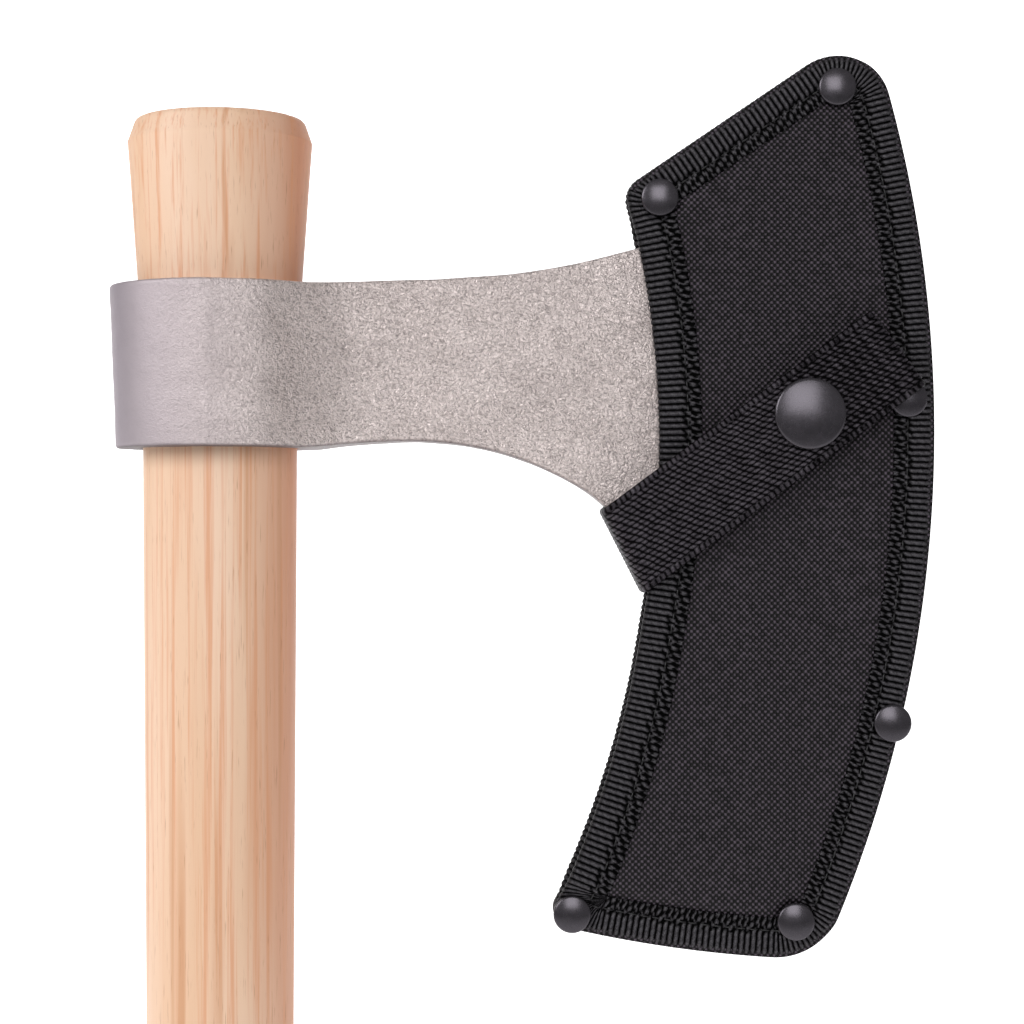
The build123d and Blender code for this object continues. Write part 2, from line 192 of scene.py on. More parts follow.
# painted shade on the handle's right side, with a wandering edge
shade_reach = {0: drift, 1: RIGHT_SHADE_DRIFT, 2: axes.outputs["X"]}
shade_reach = add(tree, "ShaderNodeMath", shade_reach, operation="MULTIPLY_ADD")
painted_right_shade = add(tree, "ShaderNodeMapRange", {0: shade_reach, 1: RIGHT_SHADE_START, 2: RIGHT_SHADE_END, 3: 0.0, 4: 0.95})
pale = add(tree, "ShaderNodeMixRGB", {0: painted_right_shade, 1: pale, 2: colour("#dd9a78")})
streaked = add(tree, "ShaderNodeMapRange", {0: streak, 1: 0.5, 2: 0.66, 3: 0.0, 4: 0.75})
wood = add(tree, "ShaderNodeMixRGB", {0: streaked, 1: pale, 2: colour("#e6a47c")})
darkened = add(tree, "ShaderNodeMapRange", {0: dark_streak, 1: 0.6, 2: 0.72, 3: 0.0, 4: 0.6})
wood = add(tree, "ShaderNodeMixRGB", {0: darkened, 1: wood, 2: colour("#cf8f62")})
pored = add(tree, "ShaderNodeMapRange", {0: pores, 1: 0.62, 2: 0.76, 3: 0.0, 4: 0.5})
wood = add(tree, "ShaderNodeMixRGB", {0: pored, 1: wood, 2: colour("#b07450")})
tree.links.new(wood.outputs[0], shader.inputs["Base Color"])
relief = add(tree, "ShaderNodeMath", {0: pores, 1: streak}, operation="ADD")
bump = add(tree, "ShaderNodeBump", {"Height": relief, "Strength": 0.25, "Distance": 0.05 * MM})
tree.links.new(bump.outputs[0], shader.inputs["Normal"])
polish = add(tree, "ShaderNodeMapRange", {0: streak, 3: 0.4, 4: 0.56})
tree.links.new(polish.outputs[0], shader.inputs["Roughness"])
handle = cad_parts["handle"]
handle.data.materials.clear()
handle.data.materials.append(hickory)

# Head. One forging of carbon steel: an oval eye band, a concave neck and a long bearded blade. It is
# die-forged, blasted and lightly oiled, so it is matt grey with worn-off scale and soft, uneven edges.
EYE_BOTTOM, EYE_TOP = 487.0, 521.6
POLL_TOP_X, POLL_BOTTOM_X, EYE_HALF_DEPTH = -23.5, -22.1, 19.0
NECK = ((0.0, EYE_HALF_DEPTH), (11.0, 16.6), (19.0, 11.2), (27.0, 7.4), (38.0, 5.8))
CHEEK_END = (150.0, 0.72)
EDGE_CENTRE, EDGE_RADIUS = (-97.6, 485.4), 239.5
TOE_Z, HEEL_Z = 543.8, 407.2
BEVEL_WIDTH, BEVEL_HALF, EDGE_HALF = 14.5, 1.75, 0.12
SHOULDER_SLOPE = 0.377  # how steeply the ground bevel runs out into the cheek
TOP_EDGE = ((20.0, 521.6), (34.0, 522.4), (50.5, 523.1), (63.3, 524.2), (76.0, 526.3))
TOP_EDGE += ((88.8, 529.5), (104.0, 533.4), (120.0, 538.2))
UNDER_EDGE = ((20.0, 487.0), (33.5, 488.2), (46.0, 488.3), (59.0, 486.3), (71.8, 481.5))
UNDER_EDGE += ((80.3, 476.5), (89.6, 465.2), (94.2, 454.0), (96.4, 438.0), (94.4, 420.0), (84.8, 398.2))
FORGED_ROUND = 0.7
NECK_RUN = 60.0  # up to here the upright rows of the mesh stay upright
EYE_HALF_WIDTHS = (16.57, 17.62)  # at the bottom and the top of the eye, clear of the wood
HANDLE_OVAL = 0.787
EYE_EDGE = 0.7  # the eye's rims are broken by this much
BLADE_COLUMNS, POLL_COLUMNS, FACE_ROWS, WALL_ROWS = 190, 47, 70, 9
FINE = 2000  # points on a line that others are read from


def smooth_line(points, step):
    """Evenly spaced points on a smooth curve through a few given ones."""
    points = np.array(points, float)
    lengths = np.r_[0, np.cumsum(np.linalg.norm(np.diff(points, axis=0), axis=1))]
    slopes = np.gradient(points, lengths, axis=0)
    at = np.linspace(0, lengths[-1], max(2, round(lengths[-1] / step) + 1))
    i = np.clip(np.searchsorted(lengths, at, side="right") - 1, 0, len(lengths) - 2)
    gap = (lengths[i + 1] - lengths[i])[:, None]
    u = (at - lengths[i])[:, None] / gap
    start = (1 + 2 * u) * points[i] + u * gap * slopes[i]
    end = (3 - 2 * u) * points[i + 1] - (1 - u) * gap * slopes[i + 1]
    return start * (1 - u) ** 2 + end * u**2


def evenly(line, count):
    """The same line with this many evenly spaced points."""
    lengths = np.r_[0, np.cumsum(np.linalg.norm(np.diff(line, axis=0), axis=1))]
    at = np.linspace(0, lengths[-1], count)
    return np.stack([np.interp(at, lengths, column) for column in line.T], axis=-1)


def edge_x(z):
    """X of the cutting edge at a height."""
    return EDGE_CENTRE[0] + math.sqrt(EDGE_RADIUS**2 - (z - EDGE_CENTRE[1]) ** 2)


def half_thickness(x, z):
    """Half the steel's thickness beyond the middle of the eye: neck, tapering cheek and ground bevel."""
    neck = smooth_line(NECK, 0.5)
    (neck_x, neck_half), (end_x, end_half) = NECK[-1], CHEEK_END
    cheek = neck_half + (end_half - neck_half) / (end_x - neck_x) * (x - neck_x)
    plan = np.where(x < neck_x, np.interp(x, neck[:, 0], neck[:, 1]), cheek)
    from_edge = EDGE_RADIUS - np.hypot(x - EDGE_CENTRE[0], z - EDGE_CENTRE[1])
    bevel = EDGE_HALF + (BEVEL_HALF - EDGE_HALF) * from_edge / BEVEL_WIDTH
    steep = BEVEL_HALF + SHOULDER_SLOPE * (from_edge - BEVEL_WIDTH)
    return np.minimum(plan, np.where(from_edge < BEVEL_WIDTH, bevel, steep))


def head_columns():
    """Pairs of points under and on top of the head, from the middle of the eye to the cutting edge."""
    toe, heel = (edge_x(TOE_Z), TOE_Z), (edge_x(HEEL_Z), HEEL_Z)
    top = np.vstack([[(0.0, EYE_TOP)], smooth_line(TOP_EDGE + (toe,), 1.0)])
    under = np.vstack([[(0.0, EYE_BOTTOM)], smooth_line(UNDER_EDGE, 1.0), [heel]])
    under_length = np.linalg.norm(np.diff(under, axis=0), axis=1).sum()
    top_length = np.linalg.norm(np.diff(top, axis=0), axis=1).sum()
    under = evenly(under, BLADE_COLUMNS)
    run = np.linspace(0, under_length, BLADE_COLUMNS)
    squeeze = (top_length - NECK_RUN) / (under_length - NECK_RUN)
    top_run = np.where(run < NECK_RUN, run, NECK_RUN + (run - NECK_RUN) * squeeze)
    dense = evenly(top, FINE)
    top = np.stack([np.interp(top_run, np.linspace(0, top_length, FINE), c) for c in dense.T], axis=-1)
    blade_share = np.clip((run - NECK_RUN) / (under_length - NECK_RUN), 0, 1)
    return under, top, blade_share


def head_half(rows):
    """The front half of the head as a grid: columns from the poll to the cutting edge, rows upward."""
    under, top, blade_share = head_columns()
    low, high = (math.atan2(z - EDGE_CENTRE[1], edge_x(z) - EDGE_CENTRE[0]) for z in (HEEL_Z, TOE_Z))
    angle = low + (high - low) * rows
    arc = np.array(EDGE_CENTRE) + EDGE_RADIUS * np.stack([np.cos(angle), np.sin(angle)], axis=-1)
    bulge = arc - (arc[0] + (arc[-1] - arc[0]) * rows[:, None])
    side = under[:, None] + (top - under)[:, None] * rows[:, None] + blade_share[:, None, None] * bulge
    depth = half_thickness(side[..., 0], side[..., 1])
    blade = np.stack([side[..., 0], -depth, side[..., 1]], axis=-1)
    sweep = np.linspace(0, math.pi / 2, POLL_COLUMNS + 1)[:-1]
    lean = POLL_BOTTOM_X + (POLL_TOP_X - POLL_BOTTOM_X) * rows
    poll = np.empty((len(sweep), len(rows), 3))
    poll[..., 0] = lean * np.cos(sweep)[:, None]
    poll[..., 1] = -EYE_HALF_DEPTH * np.sin(sweep)[:, None]
    poll[..., 2] = EYE_BOTTOM + (EYE_TOP - EYE_BOTTOM) * rows
    return np.concatenate([poll, blade])


def make_head_mesh():
    """The front half of the head's skin, from the poll to the cutting edge, with rounded edges."""
    half = head_half(np.linspace(0, 1, FACE_ROWS + 10))
    tall = np.linalg.norm(half[:, -1] - half[:, 0], axis=-1)
    along = np.gradient(half, axis=0)
    out = np.stack([along[..., 1], -along[..., 0]], axis=-1)
    out = out / np.linalg.norm(out, axis=-1, keepdims=True)
    turn = np.linspace(0, math.pi / 2, 6)
    share = np.linspace(0, 1, half.shape[1])
    grid = []
    for k, column in enumerate(half):
        thickness = abs(column[half.shape[1] // 2, 1])
        radius = min(FORGED_ROUND, 0.8 * thickness) if column[0, 0] > 0 else FORGED_ROUND
        ring = radius * (1 - np.cos(turn)) / tall[k]
        at = np.r_[ring, np.linspace(ring[-1], 1 - ring[-1], FACE_ROWS)[1:-1], 1 - ring[::-1]]
        sunk = radius * np.r_[1 - np.sin(turn), np.zeros(FACE_ROWS - 2), 1 - np.sin(turn[::-1])]
        points = np.stack([np.interp(at, share, column[:, i]) for i in range(3)], axis=-1)
        normal = np.stack([np.interp(at, share, out[k, :, i]) for i in range(2)], axis=-1)
        points[:, :2] -= normal * sunk[:, None]
        grid.append(points)
    return np.array(grid)


front = make_head_mesh()
back = front[:0:-1] * np.array([1, -1, 1])
skin = np.concatenate([back, front]) * MM
columns, rows = skin.shape[:2]
index = np.arange(columns * rows).reshape(columns, rows)
faces = [grid_faces(index)]
points = [skin.reshape(-1, 3)]
faces.append(np.stack([index[-1, :-1], index[0, :-1], index[0, 1:], index[-1, 1:]], axis=-1))
across = np.linspace(0, 1, WALL_ROWS)[:, None, None]
count = columns * rows
middle = len(back)
for row in (0, rows - 1):
    near, far = skin[middle:, row], skin[middle::-1, row]
    wall = near + (far - near) * across
    numbers = np.arange(wall.shape[0] * wall.shape[1]).reshape(wall.shape[:2]) + count
    count += numbers.size
    points.append(wall.reshape(-1, 3))
    faces.append(grid_faces(numbers))
faces = np.concatenate(faces)

# blasted forging: matt grey with a faint warm cast, pitted like orange peel where the scale came off; painted
# shade darkens its pits, the side towards the poll and the faces turned downward
forged, tree, shader = new_material("blasted_forging", Metallic=0.8)
where = add(tree, "ShaderNodeTexCoord").outputs["Object"]
spread = add(tree, "ShaderNodeVectorMath", {0: where, 1: per_mm(0.64, 0.64, 0.5)}, operation="MULTIPLY")
peel = {"Vector": spread, "Scale": 1.0, "Roughness": 0.6, "Distortion": 0.9}
peel = add(tree, "ShaderNodeTexNoise", peel)
spread = add(tree, "ShaderNodeVectorMath", {0: where, 1: per_mm(2.2, 2.2, 1.8)}, operation="MULTIPLY")
pits = {"Vector": spread, "Scale": 1.0, "Roughness": 0.55, "Distortion": 0.5}
pits = add(tree, "ShaderNodeTexNoise", pits)
axes = add(tree, "ShaderNodeSeparateXYZ", {0: where})
polish = add(tree, "ShaderNodeMapRange", {0: axes.outputs["X"], 1: -0.01, 2: 0.03, 3: 0.58, 4: 0.42})
tree.links.new(polish.outputs[0], shader.inputs["Roughness"])
blasted = add(tree, "ShaderNodeMapRange", {0: axes.outputs["X"], 1: -0.016, 2: 0.016, 3: 0.12, 4: 1.0})
spread = add(tree, "ShaderNodeVectorMath", {0: where, 1: per_mm(14, 14, 9)}, operation="MULTIPLY")
cloud = add(tree, "ShaderNodeTexNoise", {"Vector": spread, "Scale": 1.0, "Detail": 3.0, "Roughness": 0.6})
grey = add(tree, "ShaderNodeMapRange", {0: cloud, 1: 0.35, 2: 0.65})
base = add(tree, "ShaderNodeMixRGB", {0: grey, 1: colour("#e0d3d0"), 2: colour("#eee1de")})
# painted shade in the pits: darker where the peel is low
painted_pit_shade = add(tree, "ShaderNodeMapRange", {0: peel, 1: 0.52, 2: 0.34, 3: 0.0, 4: 0.6})
painted_pit_shade = add(tree, "ShaderNodeMath", {0: painted_pit_shade, 1: blasted}, operation="MULTIPLY")
base = add(tree, "ShaderNodeMixRGB", {0: painted_pit_shade, 1: base, 2: colour("#867a79")})
# painted shade: darker towards the poll, where the eye band turns away from the light
painted_poll_shade = add(tree, "ShaderNodeMapRange", {0: axes.outputs["X"], 1: 0.014, 2: -0.02, 3: 0.0, 4: 0.8})
base = add(tree, "ShaderNodeMixRGB", {0: painted_poll_shade, 1: base, 2: colour("#a49ba6")})
# painted shade: faces turned downward are darker
facing = add(tree, "ShaderNodeSeparateXYZ", {0: add(tree, "ShaderNodeTexCoord").outputs["Normal"]})
painted_underside_shade = add(tree, "ShaderNodeMapRange", {0: facing.outputs["Z"], 1: -0.15, 2: -0.85, 3: 0.0, 4: 0.85})
base = add(tree, "ShaderNodeMixRGB", {0: painted_underside_shade, 1: base, 2: colour("#564e50")})
tree.links.new(base.outputs[0], shader.inputs["Base Color"])
heights = add(tree, "ShaderNodeMath", {0: pits, 1: 0.7, 2: peel}, operation="MULTIPLY_ADD")
bump = add(tree, "ShaderNodeBump", {"Height": heights, "Strength": blasted, "Distance": 0.5 * MM})
tree.links.new(bump.outputs[0], shader.inputs["Normal"])

head = make_piece("forged_head", np.concatenate(points), faces, forged)
shape = bmesh.new()
shape.from_mesh(head.data)
WELD = 0.002 * MM
bmesh.ops.remove_doubles(shape, verts=shape.verts, dist=WELD)
bmesh.ops.recalc_face_normals(shape, faces=shape.faces)
shape.normal_update()
SWELLS = ((9.0, 0.08), (3.1, 0.04), (1.4, 0.03))  # how wide and how high the forging's uneven spots are
THIN_FROM_X, THIN_HALF = 60, 2.0  # where the blade is thinner than this, the spots are lower
for corner in shape.verts:
    spot = corner.co / MM
    swell = sum(height * noise.noise(spot / wide) for wide, height in SWELLS)
    blade_room = min(1.0, abs(spot.y) / THIN_HALF) if spot.x > THIN_FROM_X else 1.0
    corner.co += corner.normal * (swell * blade_room * MM)
shape.to_mesh(head.data)
shape.free()


def cut_with(piece, cutter):
    """Cuts one mesh out of another for good."""
    cut = piece.modifiers.new("cut", "BOOLEAN")
    cut.operation = "DIFFERENCE"
    cut.object = cutter
    bpy.context.view_layer.update()
    depsgraph = bpy.context.evaluated_depsgraph_get()
    done = bpy.data.meshes.new_from_object(piece.evaluated_get(depsgraph))
    piece.modifiers.clear()
    piece.data = done
    bpy.data.objects.remove(cutter)


taper = (EYE_HALF_WIDTHS[1] - EYE_HALF_WIDTHS[0]) / (EYE_TOP - EYE_BOTTOM)
CUTTER_REACH, EYE_SIDES = 5, 96
levels = ((EYE_BOTTOM - CUTTER_REACH, CUTTER_REACH), (EYE_BOTTOM, EYE_EDGE), (EYE_BOTTOM + EYE_EDGE, 0))
levels += ((EYE_TOP - EYE_EDGE, 0), (EYE_TOP, EYE_EDGE), (EYE_TOP + CUTTER_REACH, CUTTER_REACH))
turn = np.linspace(0, 2 * math.pi, EYE_SIDES + 1)[:-1]
eye = []
for z, wider in levels:
    half = EYE_HALF_WIDTHS[0] + taper * (z - EYE_BOTTOM)
    depth = half * HANDLE_OVAL
    ring = (half + wider) * np.cos(turn), (depth + wider) * np.sin(turn), 0 * turn + z
    eye.append(np.stack(ring, axis=-1))
eye = np.array(eye).reshape(-1, 3) * MM
index = np.arange(len(eye)).reshape(len(levels), -1)
loops = grid_faces(np.hstack([index, index[:, :1]])).tolist()
loops += [index[0][::-1].tolist(), index[-1].tolist()]
cut_with(head, make_piece("eye_cutter", eye, loops, forged))
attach(head, "axe")
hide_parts("axe_head")

# Liners and welt. Two stiff sheets of black plastic keep the edge off the cloth, and a strip of the same
# plastic runs round the closed edges between them, where the rivets go through.

# extruded black plastic sheet: smooth and slightly glossy, with faint drawn lines and scuffs
plastic, tree, shader = new_material("black_plastic_sheet", Roughness=0.42)
where = add(tree, "ShaderNodeTexCoord").outputs["Object"]
spread = add(tree, "ShaderNodeVectorMath", {0: where, 1: per_mm(0.5, 3, 9)}, operation="MULTIPLY")
scuffs = add(tree, "ShaderNodeTexNoise", {"Vector": spread, "Scale": 1.0, "Detail": 3.0, "Roughness": 0.6})
dulled = add(tree, "ShaderNodeMapRange", {0: scuffs, 3: 0.34, 4: 0.55})
tree.links.new(dulled.outputs[0], shader.inputs["Roughness"])
worn = add(tree, "ShaderNodeMixRGB", {0: scuffs, 1: colour("#1c1b1d"), 2: colour("#29272a")})
tree.links.new(worn.outputs[0], shader.inputs["Base Color"])
for name in ("front_liner", "back_liner", "edge_welt"):
    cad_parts[name].data.materials.clear()
    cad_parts[name].data.materials.append(plastic)

# Panels. Front and back are cut from heavy black nylon canvas in a plain weave. They lie flat at the seams,
# rise over the blade, open towards the mouth, and are pinched under each rivet.
SEAM_HALF_GAP, LINER, PANEL, TAPE = 1.4, 0.5, 0.9, 0.5
CHEEK_SLOPE, CHEEK_FOOT_X = 0.042, 146.0
SEAM_FOOT, SEAM_SLOPE = 6.7, 0.65
MOUTH_TOP, TOE_CORNER = np.array((87.0, 543.1)), np.array((137.6, 577.4))
HEEL_CORNER, MOUTH_BOTTOM = np.array((128.2, 377.0)), np.array((69.6, 384.5))
CORNERS = ((MOUTH_TOP, 5.0), (TOE_CORNER, 11.7), (HEEL_CORNER, 15.0), (MOUTH_BOTTOM, 4.5))
top_run = (TOE_CORNER - MOUTH_TOP) / np.linalg.norm(TOE_CORNER - MOUTH_TOP)
STRAIGHT = 20000.0  # a circle this large stands for a straight side
CORNER_POINTS, SIDE_POINTS = 31, 80
# each side, as circles that the sheath lies inside, or outside where the side is hollow
SIDES = (
    (((MOUTH_TOP + STRAIGHT * np.array((top_run[1], -top_run[0]))), STRAIGHT, False),),
    (((-118.4, 490.6), 271.8, False),),
    (((134.3, 644.1), 266.8, False),),
    (((-124.0, 482.4), 216.8, True), ((-111.1, 488.0), 205.0, True)),
)
RIVETS = {
    "mouth_top": (94.2, 540.4),
    "toe": (132.0, 564.0),
    "edge_upper": (147.2, 497.6),
    "edge_lower": (143.8, 428.4),
    "heel": (123.2, 386.1),
    "mouth_bottom": (75.5, 387.7),
}
RIVET_SEAT, PINCH_SLOPE = 4.15, 1.5
FOLD_SOFT = 0.6  # how gently the panels leave the seams
WEAVE, THREAD_WANDER = 0.66, 0.22  # thread spacing of the canvas, and how far its threads stray


def inside(side, points):
    """How far inside one side of the sheath points lie, and the directions that lead further in."""
    depths, ways = [], []
    for centre, radius, hollow in SIDES[side]:
        away = points - np.array(centre)
        far = np.linalg.norm(away, axis=-1)
        sign = 1 if hollow else -1
        depths.append(sign * (far - radius))
        ways.append(sign * away / far[:, None])
    nearest = np.argmin(depths, axis=0)
    each = np.arange(len(points))
    return np.array(depths)[nearest, each], np.array(ways)[nearest, each]


def corner_line(number, inset):
    """The rounded corner where one side ends and the next begins, drawn in by an inset."""
    point, radius = CORNERS[number][0][None], CORNERS[number][1]
    before, after = (number - 1) % 4, number
    for _ in range(12):
        (gap_a, way_a), (gap_b, way_b) = inside(before, point), inside(after, point)
        miss = max(radius, inset) - np.array([gap_a[0], gap_b[0]])
        point = point + np.linalg.solve(np.vstack([way_a, way_b]), miss)
    start, end = math.atan2(-way_a[0, 1], -way_a[0, 0]), math.atan2(-way_b[0, 1], -way_b[0, 0])
    end = start + (end - start + math.pi) % (2 * math.pi) - math.pi
    angle = np.linspace(start, end, CORNER_POINTS)
    return point + max(radius - inset, 0) * np.stack([np.cos(angle), np.sin(angle)], axis=-1)


def side_line(side, inset, count):
    """One side of the outline at an inset, from the middle of one rounded corner to that of the next."""
    first, last = corner_line(side, inset), corner_line((side + 1) % 4, inset)
    line = first[-1] + (last[0] - first[-1]) * np.linspace(0, 1, SIDE_POINTS)[:, None]
    for _ in range(8):
        depth, way = inside(side, line)
        line = line + (inset - depth)[:, None] * way
    half = CORNER_POINTS // 2
    return evenly(np.vstack([first[half:], line[1:-1], last[: half + 1]]), count)


def smaller(a, b, blend=1.0):
    """The lesser of two heights, with the crease between them rounded as cloth rounds it."""
    mix = np.clip(0.5 + 0.5 * (b - a) / blend, 0, 1)
    return b + (a - b) * mix - blend * mix * (1 - mix)


def layer_height(x, y, rise):
    """Height of the top of a sheath layer above the blade's middle plane."""
    lift = CHEEK_SLOPE * (CHEEK_FOOT_X - x)
    for start, end, sign in ((MOUTH_TOP, TOE_CORNER, 1), (MOUTH_BOTTOM, HEEL_CORNER, -1)):
        run = (end - start) / np.linalg.norm(end - start)
        from_seam = sign * ((x - start[0]) * run[1] - (y - start[1]) * run[0])
        lift = smaller(lift, SEAM_SLOPE * (from_seam - SEAM_FOOT))
    for rivet_x, rivet_y in RIVETS.values():
        lift = smaller(lift, PINCH_SLOPE * (np.hypot(x - rivet_x, y - rivet_y) - RIVET_SEAT))
    return SEAM_HALF_GAP + rise - smaller(-lift, 0 * lift, FOLD_SOFT)


def stand(flat):
    """Points laid out flat in millimetres, stood up on the handle's frame in metres."""
    return np.stack([flat[..., 0], -flat[..., 2], flat[..., 1]], axis=-1) * MM


def face_outward(piece):
    """Turns all the faces of a closed piece to its outside."""
    turned = bmesh.new()
    turned.from_mesh(piece.data)
    bmesh.ops.recalc_face_normals(turned, faces=turned.faces)
    turned.to_mesh(piece.data)
    turned.free()


def shell(name, outer, inner, material):
    """A thin closed piece between two matching grids of flat points."""
    index = np.arange(outer.shape[0] * outer.shape[1]).reshape(outer.shape[:2])
    rim = np.concatenate([index[0], index[1:, -1], index[-1, -2::-1], index[-2:0:-1, 0]])
    ahead = np.roll(rim, -1)
    walls = np.stack([rim, ahead, ahead + index.size, rim + index.size], axis=-1)
    faces = np.concatenate([grid_faces(index), grid_faces(index)[:, ::-1] + index.size, walls])
    points = np.concatenate([outer.reshape(-1, 3), inner.reshape(-1, 3)])
    made = make_piece(name, stand(points), faces, material)
    face_outward(made)
    return made


def panel_plan(inset, across, tall):
    """A grid over the sheath's outline, stretched between its four sides."""
    top, right = side_line(0, inset, across), side_line(1, inset, tall)
    bottom, left = side_line(2, inset, across)[::-1], side_line(3, inset, tall)[::-1]
    u, v = np.linspace(0, 1, across)[None, :, None], np.linspace(0, 1, tall)[:, None, None]
    sides = left[:, None] * (1 - u) + right[:, None] * u + top * (1 - v) + bottom * v
    corners = top[0] * (1 - u) * (1 - v) + top[-1] * u * (1 - v)
    corners = corners + bottom[0] * (1 - u) * v + bottom[-1] * u * v
    return sides - corners


# coarse nylon canvas: black with a slight violet cast, in a checker of thread crowns with a painted highlight
# over gaps in painted shade
canvas, tree, shader = new_material("nylon_canvas", Roughness=0.55, Specular_IOR_Level=0.22)
where = add(tree, "ShaderNodeTexCoord").outputs["Object"]
wander = add(tree, "ShaderNodeTexNoise", {"Vector": where, "Scale": 1 / (2.6 * MM)})
wander = {0: wander.outputs["Color"], 1: (THREAD_WANDER * MM,) * 3}
wander = add(tree, "ShaderNodeVectorMath", wander, operation="MULTIPLY")
place = add(tree, "ShaderNodeVectorMath", {0: where, 1: wander.outputs[0]}, operation="ADD")
turned = {0: place, 1: (math.pi / (WEAVE * MM),) * 3}
turned = add(tree, "ShaderNodeVectorMath", turned, operation="MULTIPLY")
axes = add(tree, "ShaderNodeSeparateXYZ", {0: turned})
across = add(tree, "ShaderNodeMath", {0: axes.outputs["X"]}, operation="COSINE")
upward = add(tree, "ShaderNodeMath", {0: axes.outputs["Z"]}, operation="COSINE")
checker = add(tree, "ShaderNodeMath", {0: across, 1: upward}, operation="MULTIPLY")
spread = add(tree, "ShaderNodeVectorMath", {0: where, 1: per_mm(1.3, 1.3, 0.9)}, operation="MULTIPLY")
uneven = add(tree, "ShaderNodeTexNoise", {"Vector": spread, "Scale": 1.0, "Detail": 1.0})
crowns = add(tree, "ShaderNodeMath", {0: uneven, 1: 1.1, 2: checker}, operation="MULTIPLY_ADD")
lit = add(tree, "ShaderNodeMapRange", {0: crowns, 1: 0.45, 2: 1.5})
base = add(tree, "ShaderNodeMixRGB", {0: lit, 1: colour("#050405"), 2: colour("#5a515b")})
tree.links.new(base.outputs[0], shader.inputs["Base Color"])
bump = add(tree, "ShaderNodeBump", {"Height": crowns, "Strength": 0.9, "Distance": 0.16 * MM})
tree.links.new(bump.outputs[0], shader.inputs["Normal"])

ACROSS, TALL = 90, 190
plan = panel_plan(TAPE, ACROSS, TALL)
x, y = plan[..., 0], plan[..., 1]
ripple = np.array([noise.noise((a / 17, b / 23, 0.5)) for a, b in plan.reshape(-1, 2)]).reshape(x.shape)
from_sides = np.minimum.reduce([inside(side, plan.reshape(-1, 2))[0] for side in range(4)]).reshape(x.shape)
RIPPLE_HEIGHT, RIPPLE_START, RIPPLE_FADE = 0.3, 9, 12
slack = RIPPLE_HEIGHT * ripple * np.clip((from_sides - RIPPLE_START) / RIPPLE_FADE, 0, 1)
LINER_CLEAR = 0.05
for side, sign in (("front", 1), ("back", -1)):
    outer = np.stack([x, y, sign * (layer_height(x, y, LINER + PANEL) + slack)], axis=-1)
    inner = np.stack([x, y, sign * (layer_height(x, y, LINER + LINER_CLEAR) + slack)], axis=-1)
    panel = shell(side + "_canvas", outer, inner, canvas)
    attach(panel, "sheath")
    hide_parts(side + "_panel")

# Binding. Ribbed nylon tape is folded over the raw edges and sewn through: one length round the closed edges
# takes in both panels, and each panel's mouth has its own. Its ribs stand square to the edge, and break into
# short lobes where the stitches pull it down.
FACE_RISE = LINER + PANEL + TAPE
BAND, RIB, RIB_HEIGHT, LOBE = 9.0, 1.3, 0.55, 1.9
RIM_ROUND, MOUTH_ROUND, RIM_STRETCH = 2.4, 0.95, 0.6
STITCH_LINE = 6.3
WHOLE_RIB = 5.2  # from the rim to here the ribs are whole, and further in they break into short lobes
SHIFTED_RIB = WHOLE_RIB + 1.5  # and from here each lies between two of the others
RIB_MEAN, LOBE_LEAN = 0.7, 0.55
SCALLOP, SCALLOP_START, TUCK = 0.3, 8.5, 0.3  # the wavy inner edge, and how deep it is turned under
RIB_STEPS, ROUGH_POINTS, FINE_POINTS = 8, 400, 3000

# ribbed nylon tape: matt black filling yarns whose crowns shine softly; the crowns carry a painted highlight
# and the grooves painted shade
tape_cloth, tree, shader = new_material("nylon_tape", Roughness=0.45, Specular_IOR_Level=0.4)
where = add(tree, "ShaderNodeTexCoord").outputs["Object"]
spread = add(tree, "ShaderNodeVectorMath", {0: where, 1: per_mm(0.35, 0.35, 0.3)}, operation="MULTIPLY")
fibres = add(tree, "ShaderNodeTexNoise", {"Vector": spread, "Scale": 1.0, "Detail": 3.0, "Roughness": 0.65})
crown = add(tree, "ShaderNodeAttribute", attribute_name="crown").outputs["Fac"]
crown = add(tree, "ShaderNodeMath", {0: crown, 1: fibres}, operation="MULTIPLY")
crown = add(tree, "ShaderNodeMapRange", {0: crown, 1: 0.12, 2: 0.52})
base = add(tree, "ShaderNodeMixRGB", {0: crown, 1: colour("#020202"), 2: colour("#4a474c")})
tree.links.new(base.outputs[0], shader.inputs["Base Color"])
shine = add(tree, "ShaderNodeMapRange", {0: crown, 3: 0.02, 4: 0.45})
tree.links.new(shine.outputs[0], shader.inputs["Specular IOR Level"])
bump = add(tree, "ShaderNodeBump", {"Height": fibres, "Strength": 0.5, "Distance": 0.12 * MM})
tree.links.new(bump.outputs[0], shader.inputs["Normal"])


def band_lines(sides):
    """Matching points on the sheath's edge and on the tape's inner edge, rib by rib, and the rib's phase."""
    edge, inner, ribs = [], [], 0
    for side in sides:
        rough = side_line(side, 0, ROUGH_POINTS)
        count = round(np.linalg.norm(np.diff(rough, axis=0), axis=1).sum() / RIB)
        ribs += count
        outside = side_line(side, 0, count * RIB_STEPS + 1)[:-1]
        within = side_line(side, BAND, FINE_POINTS)
        nearest = [np.argmin(np.hypot(*(within - p).T)) for p in outside]
        edge.append(outside)
        inner.append(within[nearest])
    edge.append(side_line(sides[-1], 0, 3)[-1:])
    inner.append(side_line(sides[-1], BAND, 3)[-1:])
    return np.vstack(edge), np.vstack(inner), np.arange(ribs * RIB_STEPS + 1) / RIB_STEPS


